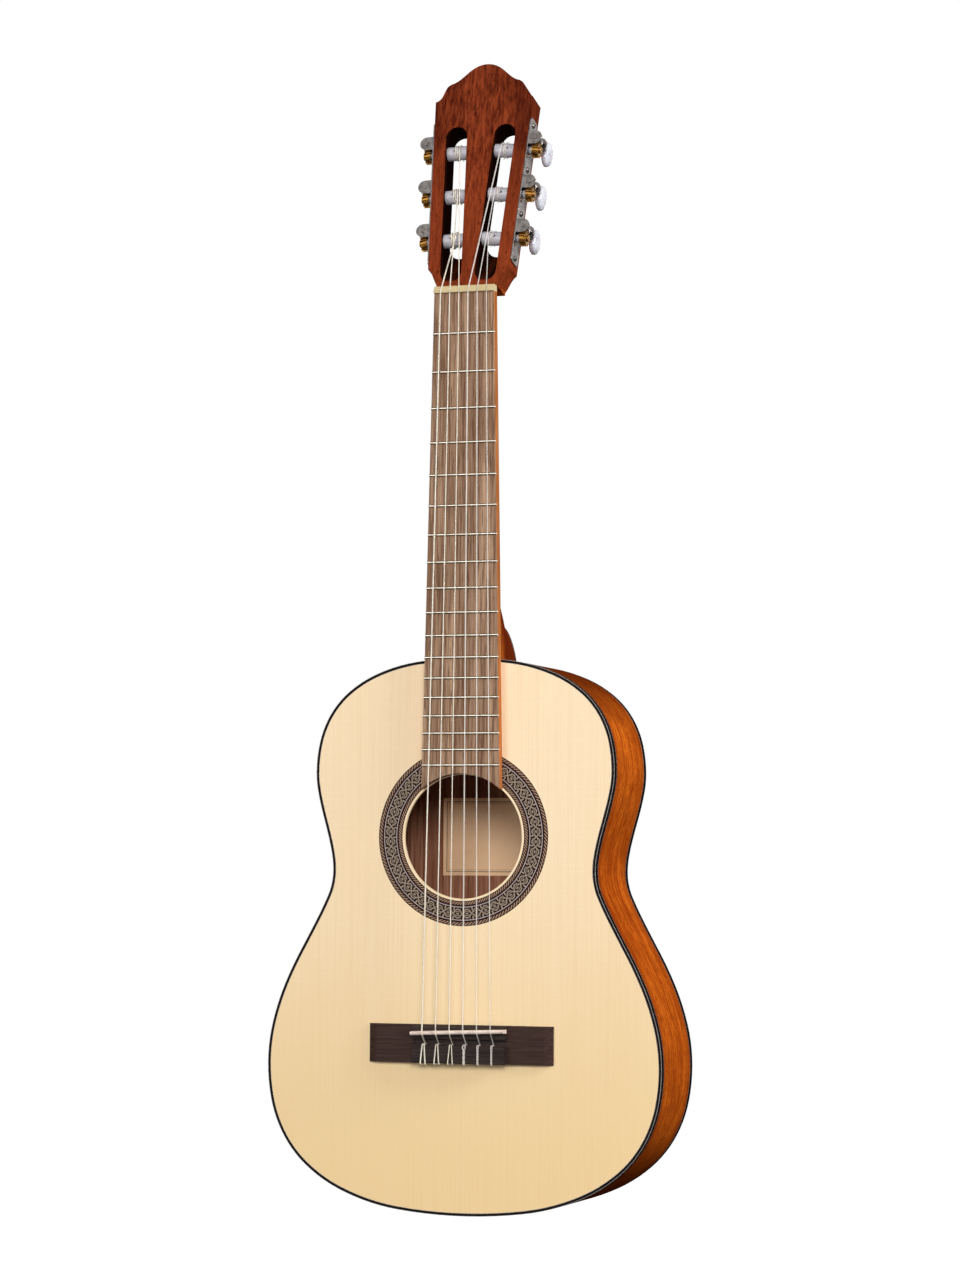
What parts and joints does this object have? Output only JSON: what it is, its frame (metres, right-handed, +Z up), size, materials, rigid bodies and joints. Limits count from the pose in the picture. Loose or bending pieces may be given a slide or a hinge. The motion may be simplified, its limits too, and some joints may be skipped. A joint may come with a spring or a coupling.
{
  "type": "classical guitar",
  "caption": "Small classical guitar: hollow waisted body with soundhole and tie bridge, fretted neck, slotted headstock with geared tuning machines.",
  "frame": {"origin": "on the centreline at the front edge of the nut, in the plane of the soundboard's face", "axes": "+Z up the neck to the headstock, -Y towards the player's side (the soundboard faces -Y), +X to the treble side"},
  "size_m": [0.3004, 0.096, 0.8508],
  "materials": {
    "top_spruce": "pale spruce, fine straight grain, satin varnish",
    "mahogany": "orange-brown mahogany, satin varnish",
    "neck_wood": "reddish brown neck wood, satin varnish",
    "lining_wood": "bare wood inside the body",
    "binding": "black binding",
    "rosette_inlay": "inlaid rings of brown, grey and black",
    "label_paper": "plain paper with a plain border",
    "fingerboard_wood": "grey-brown open-grained hardwood, unvarnished",
    "fret_wire": "polished nickel silver",
    "nut_bone": "ivory-coloured",
    "bridge_wood": "dark brown hardwood",
    "saddle_bone": "off-white",
    "nylon": "clear nylon",
    "wound_string": "silver-plated winding on nylon",
    "nickel": "nickel plate",
    "cog_brass": "bare brass",
    "roller_plastic": "white plastic",
    "button_pearloid": "white pearloid"
  },
  "bodies": {
    "root": {"soundboard": "top_spruce", "back": "mahogany", "side_bass": "mahogany", "side_treble": "mahogany", "top_binding": "binding", "back_binding": "binding", "linings": "lining_wood", "neck_block": "lining_wood", "tail_block": "lining_wood", "top_braces": "lining_wood", "bridge_patch": "lining_wood", "back_braces": "lining_wood", "rosette": "rosette_inlay", "label": "label_paper", "neck": "neck_wood", "fingerboard": "fingerboard_wood", "frets": "fret_wire", "nut": "nut_bone", "heel_cap": "binding", "bridge": "bridge_wood", "saddle": "saddle_bone", "string_1": "nylon", "string_2": "nylon", "string_3": "nylon", "string_4": "wound_string", "string_5": "wound_string", "string_6": "wound_string", "tuner_plate_bass": "nickel", "tuner_plate_treble": "nickel", "plate_screws": "nickel"},
    "roller_1": {"roller_1": "roller_plastic", "cog_1": "cog_brass", "string_winding_1": "nylon"},
    "key_1": {"key_shaft_1": "nickel", "button_1": "button_pearloid"},
    "roller_2": {"roller_2": "roller_plastic", "cog_2": "cog_brass", "string_winding_2": "nylon"},
    "key_2": {"key_shaft_2": "nickel", "button_2": "button_pearloid"},
    "roller_3": {"roller_3": "roller_plastic", "cog_3": "cog_brass", "string_winding_3": "nylon"},
    "key_3": {"key_shaft_3": "nickel", "button_3": "button_pearloid"},
    "roller_4": {"roller_4": "roller_plastic", "cog_4": "cog_brass", "string_winding_4": "wound_string"},
    "key_4": {"key_shaft_4": "nickel", "button_4": "button_pearloid"},
    "roller_5": {"roller_5": "roller_plastic", "cog_5": "cog_brass", "string_winding_5": "wound_string"},
    "key_5": {"key_shaft_5": "nickel", "button_5": "button_pearloid"},
    "roller_6": {"roller_6": "roller_plastic", "cog_6": "cog_brass", "string_winding_6": "wound_string"},
    "key_6": {"key_shaft_6": "nickel", "button_6": "button_pearloid"}
  },
  "joints": [
    {"name": "roller_1_turn", "type": "hinge", "parent": "root", "child": "roller_1", "pos_m": [0.03251, 0.01608, 0.04186], "axis": [0.9987, -0.0123, -0.0485], "continuous": true},
    {"name": "key_1_turn", "type": "hinge", "parent": "root", "child": "key_1", "pos_m": [0.03888, 0.01789, 0.049], "axis": [0, -0.9694, 0.2453], "continuous": true},
    {"name": "roller_2_turn", "type": "hinge", "parent": "root", "child": "roller_2", "pos_m": [0.03429, 0.0248, 0.07633], "axis": [0.9987, -0.0123, -0.0485], "continuous": true},
    {"name": "key_2_turn", "type": "hinge", "parent": "root", "child": "key_2", "pos_m": [0.04067, 0.02661, 0.08347], "axis": [0, -0.9694, 0.2453], "continuous": true},
    {"name": "roller_3_turn", "type": "hinge", "parent": "root", "child": "roller_3", "pos_m": [0.03607, 0.03352, 0.1108], "axis": [0.9987, -0.0123, -0.0485], "continuous": true},
    {"name": "key_3_turn", "type": "hinge", "parent": "root", "child": "key_3", "pos_m": [0.04245, 0.03533, 0.11794], "axis": [0, -0.9694, 0.2453], "continuous": true},
    {"name": "roller_4_turn", "type": "hinge", "parent": "root", "child": "roller_4", "pos_m": [-0.03607, 0.03352, 0.1108], "axis": [-0.9987, -0.0123, -0.0485], "continuous": true},
    {"name": "key_4_turn", "type": "hinge", "parent": "root", "child": "key_4", "pos_m": [-0.04245, 0.03533, 0.11794], "axis": [0, -0.9694, 0.2453], "continuous": true},
    {"name": "roller_5_turn", "type": "hinge", "parent": "root", "child": "roller_5", "pos_m": [-0.03429, 0.0248, 0.07633], "axis": [-0.9987, -0.0123, -0.0485], "continuous": true},
    {"name": "key_5_turn", "type": "hinge", "parent": "root", "child": "key_5", "pos_m": [-0.04067, 0.02661, 0.08347], "axis": [0, -0.9694, 0.2453], "continuous": true},
    {"name": "roller_6_turn", "type": "hinge", "parent": "root", "child": "roller_6", "pos_m": [-0.03251, 0.01608, 0.04186], "axis": [-0.9987, -0.0123, -0.0485], "continuous": true},
    {"name": "key_6_turn", "type": "hinge", "parent": "root", "child": "key_6", "pos_m": [-0.03888, 0.01789, 0.049], "axis": [0, -0.9694, 0.2453], "continuous": true}
  ],
  "couplings": [
    {"joint": "key_1_turn", "follows": "roller_1_turn", "ratio": -14},
    {"joint": "key_2_turn", "follows": "roller_2_turn", "ratio": -14},
    {"joint": "key_3_turn", "follows": "roller_3_turn", "ratio": -14},
    {"joint": "key_4_turn", "follows": "roller_4_turn", "ratio": -14},
    {"joint": "key_5_turn", "follows": "roller_5_turn", "ratio": -14},
    {"joint": "key_6_turn", "follows": "roller_6_turn", "ratio": -14}
  ]
}
